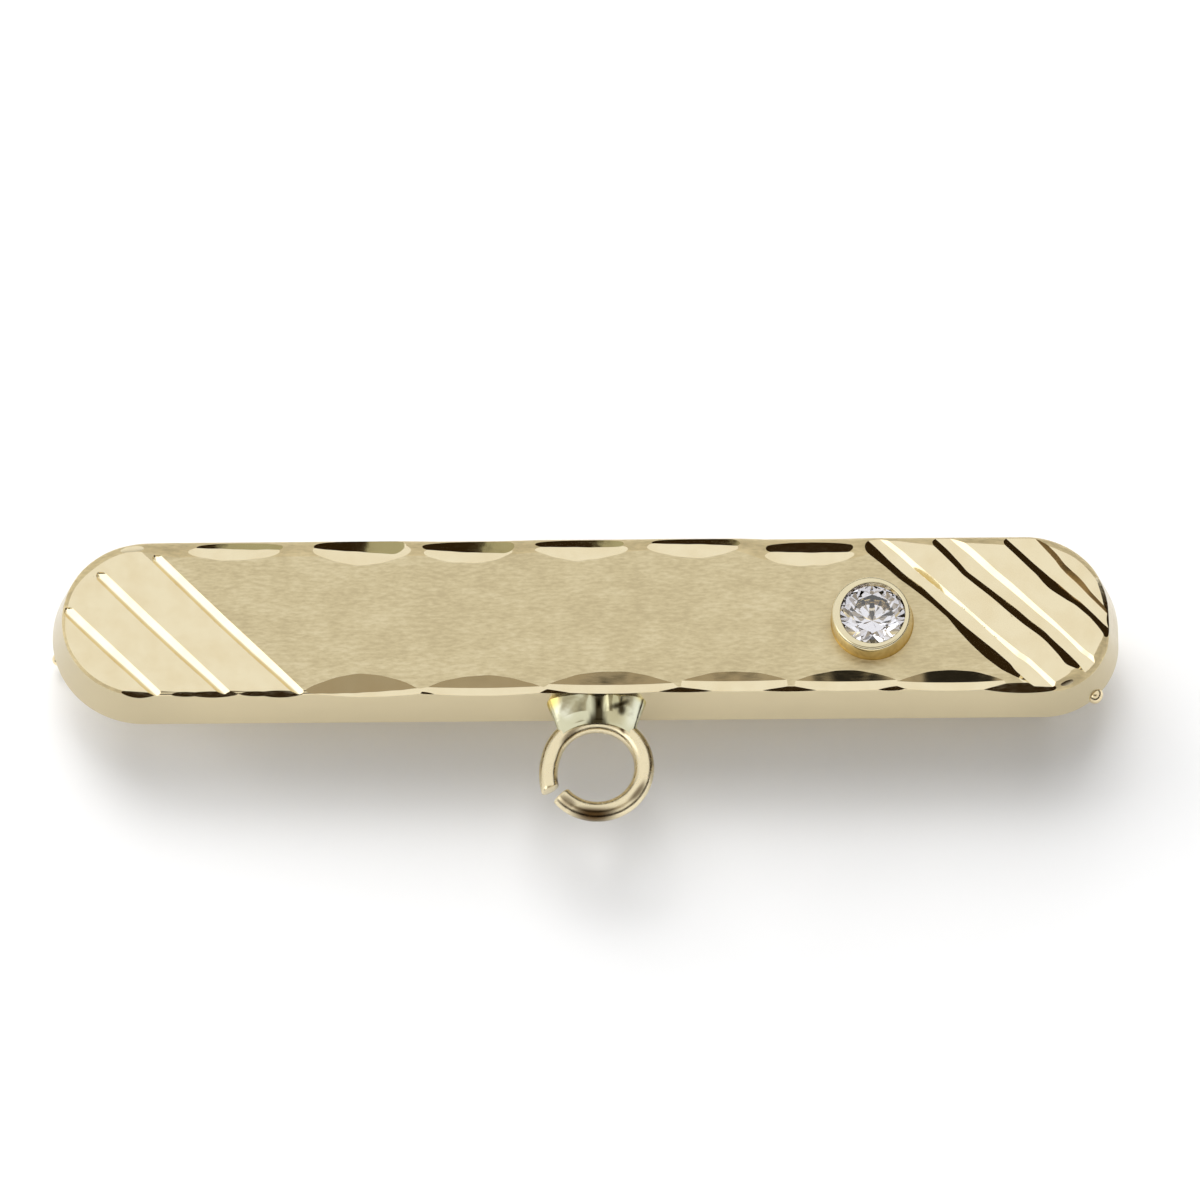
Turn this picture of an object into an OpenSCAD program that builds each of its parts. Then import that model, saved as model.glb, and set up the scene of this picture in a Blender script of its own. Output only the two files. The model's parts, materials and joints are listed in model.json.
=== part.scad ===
// Baby pin: an oblong gold bar brooch with a satin face, bright-cut grooves and scallops,
// a bezel-set round stone, an open jump ring soldered to the front wall and a pin at the back.
// +X runs along the bar, +Z points out of its face, -Y is the side with the jump ring.
// The origin is the middle of the bar's flat back.

/* [Bar] */
// Length of the bar at its base
bar_l = 32; // [30:0.5:34]
// Width of the bar at its base
bar_w = 5.6; // [5.5:0.1:6]
// Height from the flat back to the face
bar_h = 1.5; // [1.4:0.05:1.7]
// How far the wall leans in between the base and the face
wall_lean = 0.38; // [0.3:0.02:0.44]
// Radius of the rounded shoulder between the face and the wall
shoulder_r = 0.25; // [0.2:0.01:0.3]
// Corner radius of the base at the front right, which is squarer than the other three
sharp_corner_r = 2.3; // [2.1:0.1:2.6]

/* [Grooves] */
// Angle between the bar's length and the grooves
groove_angle = 46; // [44:1:48]
// How much a groove deepens towards the front
groove_fall = 1.2; // [0.4:0.1:1.5]

/* [Scallops] */
// Tilt of the facet next to the wall
outer_tilt = 30; // [28:1:32]
// Share of their measured width that the inner facets are cut to
inner_share = 1; // [0.9:0.05:1.1]
// Share of their measured width that the outer facets are cut to
outer_share = 1; // [0.9:0.05:1.1]

/* [Stone] */
// Diameter of the stone
stone_d = 2.16; // [2.1:0.02:2.2]
// Gap between the stone and its seat
stone_gap = 0.03; // [0.02:0.01:0.04]
// Distance of the stone from the middle of the bar, along it
stone_x = 8.58; // [8:0.1:8.8]
// Distance of the stone from the bar's long axis
stone_y = -0.28; // [-0.4:0.02:0]

/* [Bezel] */
// Outer diameter of the bezel cup
bezel_d = 2.4; // [2.38:0.01:2.44]
// Diameter of the opening in its rolled rim
bezel_open_d = 1.98; // [1.94:0.01:2]
// Height of the bezel above the face
bezel_h = 0.68; // [0.64:0.01:0.72]

/* [Jump ring] */
// Wire diameter
ring_wire = 0.6; // [0.56:0.01:0.62]
// Diameter of the circle through the middle of the wire
ring_mid_d = 2.81; // [2.7:0.01:2.9]
// Gap between the wire's two cut ends, as an angle
ring_gap = 13; // [10:1:16]
// Height of the ring's plane above the back
ring_z = 0.75; // [0.7:0.01:0.8]

/* [Pin] */
// Diameter of the pin stem
stem_d = 0.7; // [0.66:0.01:0.74]
// Depth of the stem's axis below the back
stem_drop = 1.62; // [1.6:0.01:1.64]
// Depth of the feet that the brooch lies on
foot_drop = 2.1; // [2.08:0.01:2.14]
// Width of the hinge across the bar
hinge_w = 2.8; // [2.4:0.1:3]
// Width of the catch plate across the bar
catch_w = 2; // [1.8:0.1:2.2]

/* [Hidden] */

GOLD = [0.84, 0.76, 0.55];
CLEAR = [0.88, 0.88, 0.94];

// Rounded corners of the base, counter-clockwise: side of X, side of Y, radius
CORNER_SX = 0;
CORNER_SY = 1;
CORNER_R = 2;
round_r = bar_w / 2;
BACK_RIGHT = [1, 1, round_r];
BACK_LEFT = [-1, 1, round_r];
FRONT_LEFT = [-1, -1, round_r];
FRONT_RIGHT = [1, -1, sharp_corner_r];
CORNERS = [BACK_RIGHT, BACK_LEFT, FRONT_LEFT, FRONT_RIGHT];
wall_angle = atan(wall_lean / bar_h);
shoulder_steps = 5;

// Grooves: end of the bar, distance of the inner edge from the middle along the long axis,
// run of the inner side, of the floor and of the outer side, depth of the floor,
// drop that is left at the top of the outer side, distance of the groove's start from its middle
GROOVE_END = 0;
GROOVE_X = 1;
GROOVE_IN = 2;
GROOVE_FLOOR = 3;
GROOVE_OUT = 4;
GROOVE_DEPTH = 5;
GROOVE_STEP = 6;
GROOVE_START = 7;
GROOVES = [
    [1, 10.44, 0.32, 0.20, 0.13, 0.18, 0.08, 5],
    [1, 12.63, 0.32, 0.20, 0.13, 0.18, 0.08, 5],
    [1, 14.88, 0.32, 0.16, 0.13, 0.18, 0.08, 5],
    [-1, 10.78, 0.24, 0.03, 0.08, 0.13, 0.07, 3],
    [-1, 12.98, 0.24, 0.03, 0.08, 0.13, 0.07, 2.4],
    [-1, 15.04, 0.24, 0.03, 0.08, 0.13, 0.07, 0.65]
];
start_ramp = 22;
groove_run = 1.55;
groove_l = 12;
groove_clear = 0.3;

// Scallops: side of the bar, middle along the bar, half length, width and tilt of the facet
// next to the satin face, width of the facet next to the wall and how far along that one is set
SCALLOP_SIDE = 0;
SCALLOP_X = 1;
SCALLOP_HALF = 2;
SCALLOP_IN = 3;
SCALLOP_TILT = 4;
SCALLOP_OUT = 5;
SCALLOP_SHIFT = 6;
SCALLOPS = [
    [1, -10.6, 1.56, 0.44, 17, 0.20, 0.30],
    [1, -6.95, 1.58, 0.46, 17, 0.33, 0.30],
    [1, -3.65, 1.46, 0.37, 17, 0.37, 0.30],
    [1, -0.1, 1.66, 0.49, 17, 0.21, 0.30],
    [1, 3.3, 1.68, 0.49, 17, 0.18, 0.30],
    [1, 6.75, 1.5, 0.48, 17, 0.47, 0],
    [-1, -6.66, 1.72, 0.50, 17, 0.13, 0.20],
    [-1, -3.05, 1.7, 0.35, 17, 0.20, 0],
    [-1, 0.74, 1.8, 0.38, 17, 0.26, 0],
    [-1, 4.44, 1.58, 0.30, 17, 0.21, 0],
    [-1, 7.78, 1.5, 0.36, 21, 0.20, 0],
    [-1, 10.9, 1.6, 0.36, 21, 0.20, 0.10]
];
facet_in = 0.3;
facet_out = 0.9;
facet_clear = 0.6;

// Round brilliant, as fractions of its radius, with angles from the girdle plane
stone_r = stone_d / 2;
table_r = stone_r * 0.57;
star_r = stone_r * 0.80;
lower_r = stone_r * 0.24;
crown_angle = 34.5;
pavilion_angle = 41;
half_facet = 22.5;
crown_h = (stone_r - table_r) * tan(crown_angle);
pavilion_h = stone_r * tan(pavilion_angle);
girdle_h = stone_r * 0.04;
table_under_rim = 0.04;
girdle_z = bar_h + bezel_h - table_under_rim - crown_h;
low_girdle_z = girdle_z - girdle_h;
culet_z = low_girdle_z - pavilion_h;

// Bezel: how far it reaches into the bar, height of its plain wall, width of the rim's flat
bezel_root = 0.2;
rim_start = 0.2;
rim_out = 0.07;
rim_in = 0.04;
lip_clear = 0.12;

// Jump ring and its solder
ring_x = 0.32;
ring_y = -4.58;
ring_mid_r = ring_mid_d / 2;
ring_gap_mid = 214;
solder_w = 3.15;
solder_neck_w = 2.2;
solder_curve_r = 0.85;
solder_neck_y = -3.3;
solder_end_y = -3.7;
solder_root_y = -2.3;
solder_level_y = -3.1;
solder_low_z = 0.15;
solder_neck_low_z = 0.55;
solder_neck_high_z = 0.97;
solder_high_z = 1.38;
bead_r = 0.25;
bead_x = 15.25;
bead_y = -2.12;

// Hinge, catch and pin stem, with the gap that is left between their plates and the back
back_gap = 0.02;
hinge_x = 13.4;
hinge_axis_z = -1.5;
ear_r = 0.7;
ear_t = 0.6;
knuckle_r = 0.55;
knuckle_gap = 0.1;
rivet_r = 0.25;
rivet_proud = 0.15;
plate_l = 1.8;
plate_t = 0.3;
catch_x = -13.4;
catch_l = 1.1;
catch_axis_z = -1.5;
catch_outer_r = 0.8;
catch_inner_r = 0.45;
mouth_low = 0.05;
stem_y = -0.05;
stem_tip_x = -16.1;
stem_tip_r = 0.2;
taper_l = 2.4;

// Points of the rounded shoulder, as distance from the corner's middle and height,
// where r is the corner's radius at the base
function shoulder(r) =
    let (reach = (shoulder_r + (bar_h - shoulder_r) * sin(wall_angle)) / cos(wall_angle))
    [for (i = [0 : shoulder_steps])
        let (a = wall_angle + (90 - wall_angle) * i / shoulder_steps)
        [r - reach + shoulder_r * cos(a), bar_h - shoulder_r + shoulder_r * sin(a)]];

module edge_profile(r) {
    polygon(concat([[0, 0], [r, 0]], shoulder(r), [[0, bar_h]]));
}

function corner_x(c) = c[CORNER_SX] * (bar_l / 2 - c[CORNER_R]);
function corner_y(c) = c[CORNER_SY] * (bar_w / 2 - c[CORNER_R]);

// One rounded quarter of the outline
module corner(c, turn) {
    translate([corner_x(c), corner_y(c), 0])
        rotate([0, 0, turn])
            rotate_extrude(angle = 90, $fn = 96)
                edge_profile(c[CORNER_R]);
}

// Straight back half between two corners
module straight_half(left, right) {
    translate([corner_x(left), 0, 0])
        rotate([90, 0, 90])
            linear_extrude(corner_x(right) - corner_x(left))
                edge_profile(bar_w / 2);
}

// Short straight stretch of the right end, between its two unequal corners
module end_stretch() {
    translate([bar_l / 2 - round_r, corner_y(BACK_RIGHT), 0])
        rotate([90, 0, 0])
            linear_extrude(corner_y(BACK_RIGHT) - corner_y(FRONT_RIGHT))
                edge_profile(round_r);
}

module bar_blank() {
    for (i = [0 : len(CORNERS) - 1])
        corner(CORNERS[i], 90 * i);
    straight_half(BACK_LEFT, BACK_RIGHT);
    mirror([0, 1, 0])
        straight_half(FRONT_LEFT, FRONT_RIGHT);
    end_stretch();
}

// Distance across the grooves from one groove to the next one of the same end
function run_to_next(i) =
    i + 1 < len(GROOVES) && GROOVES[i + 1][GROOVE_END] == GROOVES[i][GROOVE_END]
        ? (GROOVES[i + 1][GROOVE_X] - GROOVES[i][GROOVE_X]) * sin(groove_angle)
        : groove_run;

// Side view of the space in which a groove is cut: a ramp leads down into it from its start
module groove_length(g) {
    forward = -g[GROOVE_END];
    rotate([90, 0, 90])
        linear_extrude(groove_l, center = true)
            polygon([
                [forward * (-g[GROOVE_START] - groove_clear / tan(start_ramp)), groove_clear],
                [forward * groove_l, groove_clear],
                [forward * groove_l, -groove_l * tan(start_ramp)],
                [forward * -g[GROOVE_START], 0]
            ]);
}

// What the graver takes away: the groove itself and the slope that rises from its outer side
module groove_cut(g, run) {
    at_floor = g[GROOVE_IN] + g[GROOVE_FLOOR];
    at_slope = at_floor + g[GROOVE_OUT];
    lead = groove_clear * g[GROOVE_IN] / g[GROOVE_DEPTH];
    translate([g[GROOVE_END] * g[GROOVE_X], 0, bar_h])
        rotate([0, 0, 90 - groove_angle + (g[GROOVE_END] > 0 ? 0 : 180)])
            intersection() {
                rotate([90 + g[GROOVE_END] * groove_fall, 0, 0])
                    linear_extrude(groove_l, center = true)
                        polygon([
                            [-lead, groove_clear],
                            [g[GROOVE_IN], -g[GROOVE_DEPTH]],
                            [at_floor, -g[GROOVE_DEPTH]],
                            [at_slope, -g[GROOVE_STEP]],
                            [run, 0],
                            [run, groove_clear]
                        ]);
                groove_length(g);
            }
}

// One facet of a scallop: a shallow hollow cut that runs outward and down from start
module facet_cut(side, start, half, tilt, r) {
    translate(start)
        rotate([-side * (90 + tilt), 0, 0])
            translate([0, 0, -facet_in])
                linear_extrude(facet_in + facet_out)
                    intersection() {
                        translate([0, -side * r])
                            circle(r = r, $fn = 180);
                        translate([0, -side * facet_clear / 2])
                            square([2 * half + facet_clear, facet_clear], center = true);
                    }
}

// Two facets that meet in a straight line, which runs askew where the outer one is set along
module scallop_cut(s) {
    side = s[SCALLOP_SIDE];
    half = s[SCALLOP_HALF];
    tilt = s[SCALLOP_TILT];
    inner_w = inner_share * s[SCALLOP_IN];
    outer_w = outer_share * s[SCALLOP_OUT];
    sag = inner_w * sin(tilt);
    ridge_z = bar_h - inner_w * tan(tilt);
    foot_z = ridge_z - outer_w * tan(outer_tilt);
    ridge_y = bar_w / 2 - foot_z * tan(wall_angle) - outer_w;
    inner_r = (half * half + sag * sag) / (2 * sag);
    outer_r = inner_r * cos(tilt) / cos(outer_tilt);
    outer_x = s[SCALLOP_X] + s[SCALLOP_SHIFT];
    facet_cut(side, [s[SCALLOP_X], side * (ridge_y - inner_w), bar_h], half, tilt, inner_r);
    facet_cut(side, [outer_x, side * ridge_y, ridge_z], half, outer_tilt, outer_r);
}

module bezel_cup() {
    top = bar_h + bezel_h;
    rotate_extrude($fn = 96)
        polygon([
            [0, bar_h - bezel_root],
            [bezel_d / 2, bar_h - bezel_root],
            [bezel_d / 2, top - rim_start],
            [bezel_d / 2 - rim_in, top - rim_out],
            [bezel_d / 2 - rim_out - rim_in, top],
            [bezel_open_d / 2 + rim_in, top],
            [bezel_open_d / 2, top - rim_in],
            [0, top - rim_in]
        ]);
}

// Seat of the stone: a cone under the girdle, open upward through the rim
module stone_seat() {
    seat_r = stone_r + stone_gap;
    rotate_extrude($fn = 96)
        polygon([
            [0, culet_z - stone_gap / cos(pavilion_angle)],
            [seat_r, low_girdle_z - stone_gap],
            [seat_r, girdle_z + stone_gap],
            [bezel_open_d / 2, girdle_z + lip_clear],
            [bezel_open_d / 2, bar_h + bezel_h + 1],
            [0, bar_h + bezel_h + 1]
        ]);
}

// Solder between the front wall and the ring, waisted seen from above
module solder() {
    intersection() {
        translate([ring_x, 0, 0])
            linear_extrude(bar_h)
                difference() {
                    translate([-solder_w / 2, solder_end_y])
                        square([solder_w, solder_root_y - solder_end_y]);
                    for (side = [-1, 1])
                        translate([side * (solder_neck_w / 2 + solder_curve_r), solder_neck_y])
                            circle(r = solder_curve_r, $fn = 64);
                    translate([0, ring_y])
                        circle(r = ring_mid_r, $fn = 96);
                }
        translate([ring_x - solder_w, 0, 0])
            rotate([90, 0, 90])
                linear_extrude(2 * solder_w)
                    polygon([
                        [solder_root_y, solder_low_z],
                        [solder_level_y, solder_neck_low_z],
                        [solder_end_y, solder_neck_low_z],
                        [solder_end_y, solder_neck_high_z],
                        [solder_level_y, solder_neck_high_z],
                        [-bar_w / 2 + wall_lean, solder_high_z],
                        [solder_root_y, solder_high_z]
                    ]);
    }
}

module jump_ring() {
    translate([ring_x, ring_y, ring_z])
        rotate([0, 0, ring_gap_mid + ring_gap / 2])
            rotate_extrude(angle = 360 - ring_gap, $fn = 96)
                translate([ring_mid_r, 0])
                    circle(r = ring_wire / 2, $fn = 48);
}

module bar() {
    color(GOLD)
        difference() {
            union() {
                difference() {
                    bar_blank();
                    for (i = [0 : len(GROOVES) - 1])
                        groove_cut(GROOVES[i], run_to_next(i));
                    for (s = SCALLOPS)
                        scallop_cut(s);
                }
                translate([stone_x, stone_y, 0])
                    bezel_cup();
                solder();
                jump_ring();
                translate([bead_x, bead_y, 0])
                    sphere(r = bead_r, $fn = 48);
            }
            translate([stone_x, stone_y, 0])
                stone_seat();
        }
}

// Height of a facet plane that passes through (r0, z0) and the girdle, at distance r
function facet_z(r, r0, z0, r1, z1) = z0 + (r - r0) * (z1 - z0) / (r1 - r0);
function around(r, step, z) = [r * cos(step * half_facet), r * sin(step * half_facet), z];

// Rings of the brilliant: 8 table points, 8 star points, 16 and 16 girdle points,
// 8 lower points and the culet
TABLE_AT = 0;
STAR_AT = 8;
GIRDLE_AT = 16;
LOW_GIRDLE_AT = 32;
LOWER_AT = 48;
CULET_AT = 56;
star_z = facet_z(star_r * cos(half_facet), table_r, girdle_z + crown_h, stone_r, girdle_z);
lower_z = facet_z(lower_r * cos(half_facet), 0, culet_z, stone_r, low_girdle_z);
STONE_POINTS = concat(
    [for (i = [0 : 7]) around(table_r, 2 * i, girdle_z + crown_h)],
    [for (i = [0 : 7]) around(star_r, 2 * i + 1, star_z)],
    [for (i = [0 : 15]) around(stone_r, i, girdle_z)],
    [for (i = [0 : 15]) around(stone_r, i, low_girdle_z)],
    [for (i = [0 : 7]) around(lower_r, 2 * i + 1, lower_z)],
    [[0, 0, culet_z]]
);

function table_i(i) = TABLE_AT + i % 8;
function star_i(i) = STAR_AT + (i + 8) % 8;
function girdle_i(i) = GIRDLE_AT + (i + 16) % 16;
function low_girdle_i(i) = LOW_GIRDLE_AT + (i + 16) % 16;
function lower_i(i) = LOWER_AT + (i + 8) % 8;

STONE_FACES = concat(
    [[for (i = [7 : -1 : 0]) table_i(i)]],
    [for (i = [0 : 7]) [table_i(i), table_i(i + 1), star_i(i)]],
    [for (i = [0 : 7]) [table_i(i), star_i(i), girdle_i(2 * i), star_i(i - 1)]],
    [for (i = [0 : 7]) [star_i(i), girdle_i(2 * i + 1), girdle_i(2 * i)]],
    [for (i = [0 : 7]) [star_i(i), girdle_i(2 * i + 2), girdle_i(2 * i + 1)]],
    [for (i = [0 : 15]) [girdle_i(i), girdle_i(i + 1), low_girdle_i(i + 1), low_girdle_i(i)]],
    [for (i = [0 : 7]) [low_girdle_i(2 * i), low_girdle_i(2 * i + 1), lower_i(i)]],
    [for (i = [0 : 7]) [low_girdle_i(2 * i + 1), low_girdle_i(2 * i + 2), lower_i(i)]],
    [for (i = [0 : 7]) [CULET_AT, lower_i(i - 1), low_girdle_i(2 * i), lower_i(i)]]
);

module stone() {
    color(CLEAR)
        translate([stone_x, stone_y, 0])
            polyhedron(points = STONE_POINTS, faces = STONE_FACES);
}

// Side view of a hinge part: a cheek of radius r that hangs from the plate
module hinge_side(r) {
    translate([0, hinge_axis_z])
        circle(r = r, $fn = 64);
    translate([-r, hinge_axis_z])
        square([2 * r, -hinge_axis_z - plate_t / 2]);
}

// Extrudes a side view across the bar, from y0 to y1
module across(y0, y1) {
    translate([0, y1, 0])
        rotate([90, 0, 0])
            linear_extrude(y1 - y0)
                children();
}

module hinge() {
    translate([hinge_x, 0, 0]) {
        across(-hinge_w / 2, hinge_w / 2)
            translate([-plate_l / 2, -plate_t])
                square([plate_l, plate_t - back_gap]);
        for (side = [-1, 1])
            across(side * (hinge_w - ear_t) / 2 - ear_t / 2, side * (hinge_w - ear_t) / 2 + ear_t / 2)
                intersection() {
                    hinge_side(ear_r);
                    translate([-plate_l, -foot_drop])
                        square([2 * plate_l, foot_drop - back_gap]);
                }
        across(-hinge_w / 2 + ear_t + knuckle_gap, hinge_w / 2 - ear_t - knuckle_gap)
            hinge_side(knuckle_r);
        across(-hinge_w / 2 - rivet_proud, hinge_w / 2 + rivet_proud)
            translate([0, hinge_axis_z])
                circle(r = rivet_r, $fn = 48);
    }
}

// End view of the catch: a hook that is open to the front, on a soldered plate
module catch_end() {
    intersection() {
        union() {
            translate([0, catch_axis_z])
                difference() {
                    circle(r = catch_outer_r, $fn = 64);
                    circle(r = catch_inner_r, $fn = 64);
                    translate([-catch_outer_r, mouth_low])
                        square([catch_outer_r + catch_inner_r, catch_outer_r]);
                }
            translate([catch_inner_r, catch_axis_z])
                square([catch_outer_r - catch_inner_r, -catch_axis_z]);
            translate([-catch_w / 2, -plate_t])
                square([catch_w, plate_t]);
        }
        translate([-catch_w, -foot_drop])
            square([2 * catch_w, foot_drop - back_gap]);
    }
}

module stem() {
    taper_x = stem_tip_x + taper_l;
    translate([0, stem_y, -stem_drop])
        rotate([0, 90, 0]) {
            translate([0, 0, taper_x])
                cylinder(h = hinge_x - taper_x, d = stem_d, $fn = 48);
            translate([0, 0, stem_tip_x + stem_tip_r])
                cylinder(h = taper_l - stem_tip_r, r1 = stem_tip_r, r2 = stem_d / 2, $fn = 48);
            translate([0, 0, stem_tip_x + stem_tip_r])
                sphere(r = stem_tip_r, $fn = 48);
        }
}

module pin_clasp() {
    color(GOLD)
        union() {
            hinge();
            translate([catch_x - catch_l / 2, 0, 0])
                rotate([90, 0, 90])
                    linear_extrude(catch_l)
                        catch_end();
            stem();
        }
}

bar();
stone();
pin_clasp();
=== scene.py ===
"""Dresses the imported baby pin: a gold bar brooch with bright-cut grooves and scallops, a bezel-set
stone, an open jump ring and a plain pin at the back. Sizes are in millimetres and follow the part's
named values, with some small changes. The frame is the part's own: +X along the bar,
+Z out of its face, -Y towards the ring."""
import json
import math

import bmesh
import bpy
import numpy as np
from mathutils import Matrix, Vector

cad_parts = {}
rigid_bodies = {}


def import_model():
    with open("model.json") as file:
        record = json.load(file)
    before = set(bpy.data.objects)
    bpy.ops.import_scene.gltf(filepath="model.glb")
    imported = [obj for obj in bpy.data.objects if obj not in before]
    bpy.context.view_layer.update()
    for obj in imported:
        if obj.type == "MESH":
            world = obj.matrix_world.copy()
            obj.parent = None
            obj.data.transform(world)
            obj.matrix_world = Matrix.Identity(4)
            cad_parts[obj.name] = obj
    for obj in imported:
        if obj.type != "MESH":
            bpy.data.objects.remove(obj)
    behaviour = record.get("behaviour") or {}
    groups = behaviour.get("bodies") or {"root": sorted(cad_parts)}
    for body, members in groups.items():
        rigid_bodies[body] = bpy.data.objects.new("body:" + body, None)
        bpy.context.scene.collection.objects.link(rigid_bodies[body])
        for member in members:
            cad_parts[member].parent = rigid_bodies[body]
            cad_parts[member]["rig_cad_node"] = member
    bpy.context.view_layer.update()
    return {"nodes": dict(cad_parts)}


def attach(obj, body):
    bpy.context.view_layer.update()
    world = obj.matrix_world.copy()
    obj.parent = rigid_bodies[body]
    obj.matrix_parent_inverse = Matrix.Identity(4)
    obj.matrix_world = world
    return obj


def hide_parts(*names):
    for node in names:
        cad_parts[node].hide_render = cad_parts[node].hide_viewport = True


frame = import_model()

MM = 0.001
rad = math.radians
# Height that stands for no surface
FAR = 9.0

# Bar: its outline is fully round at three corners and a little sharper at the right front
BAR_L = 32.0
BAR_W = 5.6
BAR_H = 1.5
WALL_LEAN = 0.38
SHOULDER_R = 0.15
ROUND_R = BAR_W / 2
SHARP_R = 2.3
WALL_ANGLE = math.atan(WALL_LEAN / BAR_H)
# Distance in from the outline to the end of the front shoulder
ARC_END = (SHOULDER_R + (BAR_H - SHOULDER_R) * math.sin(WALL_ANGLE)) / math.cos(WALL_ANGLE)
# Mesh lines that divide the shoulder
SHOULDER_LINES = 9
# Back edge: place along the bar, radius of its shoulder and how far its wall leans in
BACK_EDGE = [
    (-16.1, 0.3, 0.36), (-13.6, 0.3, 0.36), (-12.3, 0.7, 0.23), (-5.6, 0.7, 0.23), (-4.4, 0.7, 0.27),
    (-2.6, 0.7, 0.27), (-1.5, 0.6, 0.26), (1.2, 0.6, 0.26), (2.2, 0.5, 0.28), (4.4, 0.5, 0.28),
    (5.4, 1.0, 0.18), (7.9, 1.0, 0.18), (9.4, 0.45, 0.33), (16.1, 0.45, 0.33),
]
# How much larger the shoulder's radius is at the right front corner
CORNER_SHOULDER = 0.25

# Plan mesh: how finely it is divided along the bar and across it, as [start, step, end, step, ...],
# and a small offset that keeps its points off the creases
PLAN_X = [-16.05, 0.055, -8.9, 0.09, 6.2, 0.055, 16.05]
PLAN_Y = [-2.85, 0.05, -1.6, 0.08, 1.6, 0.05, 2.85]
PLAN_OFFSET = np.array([0.0037, 0.0029])

# Grooves: their angle to the bar, and how far the slope beyond the last one runs
GROOVE_ANGLE = rad(46)
GROOVE_RUN = 1.55
# Each row of a groove's course holds the distance along it and then, across it, where its inner side,
# its floor, its outer side and the slope beyond begin
RIGHT_1 = [
    (-3.9, 0.46, 0.49, 0.86, 1.00), (-3.5, 0.39, 0.45, 0.87, 0.99), (-3.0, 0.22, 0.44, 0.86, 0.99),
    (-2.7, 0.13, 0.52, 0.83, 0.96), (-2.1, 0.06, 0.51, 0.82, 0.93), (-1.5, 0.06, 0.45, 0.80, 0.88),
    (-0.9, 0.10, 0.39, 0.78, 0.85), (-0.4, 0.17, 0.36, 0.74, 0.82), (0.3, 0.15, 0.35, 0.68, 0.79),
    (0.9, 0.10, 0.37, 0.64, 0.78), (1.5, 0.02, 0.28, 0.61, 0.75), (2.1, 0.0, 0.27, 0.61, 0.74),
    (2.7, -0.06, 0.30, 0.58, 0.69), (4.0, -0.06, 0.28, 0.52, 0.64),
]
RIGHT_2 = [
    (-2.9, 0.26, 0.30, 0.72, 0.83), (-2.65, 0.14, 0.36, 0.71, 0.82), (-2.4, 0.04, 0.39, 0.70, 0.81),
    (-2.1, 0.10, 0.39, 0.71, 0.81), (-1.5, 0.15, 0.37, 0.71, 0.80), (-1.2, 0.14, 0.39, 0.70, 0.81),
    (-0.6, 0.06, 0.33, 0.66, 0.79), (0.0, 0.02, 0.31, 0.64, 0.78), (0.6, 0.0, 0.23, 0.60, 0.76),
    (1.2, -0.06, 0.17, 0.56, 0.72), (1.8, -0.11, 0.10, 0.54, 0.72), (2.1, -0.08, 0.14, 0.54, 0.71),
    (2.7, -0.06, 0.19, 0.50, 0.67), (4.0, -0.06, 0.16, 0.48, 0.63),
]
RIGHT_3 = [
    (-1.3, -0.16, 0.26, 0.47, 0.51), (-1.0, -0.10, 0.24, 0.48, 0.54), (-0.7, -0.03, 0.19, 0.50, 0.57),
    (-0.3, 0.02, 0.20, 0.51, 0.59), (0.3, -0.01, 0.21, 0.53, 0.63),
    (0.6, -0.09, 0.18, 0.56, 0.69), (0.9, -0.15, 0.18, 0.58, 0.72), (1.2, -0.21, 0.18, 0.58, 0.72),
    (1.5, -0.20, 0.14, 0.59, 0.72), (1.8, -0.15, 0.12, 0.64, 0.77), (2.1, -0.15, 0.10, 0.66, 0.78),
    (2.7, -0.14, 0.09, 0.70, 0.80), (4.0, -0.14, 0.06, 0.76, 0.83),
]
LEFT = [
    (-3.2, -0.03, 0.165, 0.205, 0.295), (-1.8, -0.03, 0.16, 0.20, 0.29), (0.0, -0.04, 0.16, 0.20, 0.29),
    (1.5, -0.065, 0.13, 0.17, 0.26), (2.5, -0.075, 0.09, 0.13, 0.22), (3.8, -0.085, 0.06, 0.10, 0.19),
]
# End of the bar, place along the bar, course, slope of the inner side, slope of the outer side, and
# the distance along it at which it starts
GROOVES = [
    (1, 10.44, RIGHT_1, 0.5625, 0.77, 5.0),
    (1, 12.63, RIGHT_2, 0.5625, 0.77, 5.0),
    (1, 14.88, RIGHT_3, 0.5625, 1.02, 5.0),
    (-1, 10.78, LEFT, 0.54, 0.75, 2.95),
    (-1, 12.98, LEFT, 0.54, 0.75, 2.2),
    (-1, 15.04, LEFT, 0.54, 0.75, 0.62),
]
# Place in GROOVES of the one whose outer side is painted dark, as a painted dark reflection
PAINTED_DARK_GROOVE = 2
# The ramp that leads in where a groove starts: its slope, and how far its foot bows out
START_RAMP = math.tan(rad(60))
START_BOW = 0.16
# Grooves are looked for within GROOVE_REACH of their middle and beyond ENDS_X
GROOVE_REACH = 1.8
ENDS_X = 6.5
# Least depth of a groove, and of the slope beyond it where that begins
LEAST_DEPTH, LEAST_STEP = 0.1, 0.02
# Places along a groove, and the weights that smooth its course
ALONG = np.linspace(-4.4, 4.4, 881)
BLUR = np.exp(-np.linspace(-2.2, 2.2, 45) ** 2)
BLUR /= BLUR.sum()

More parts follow.
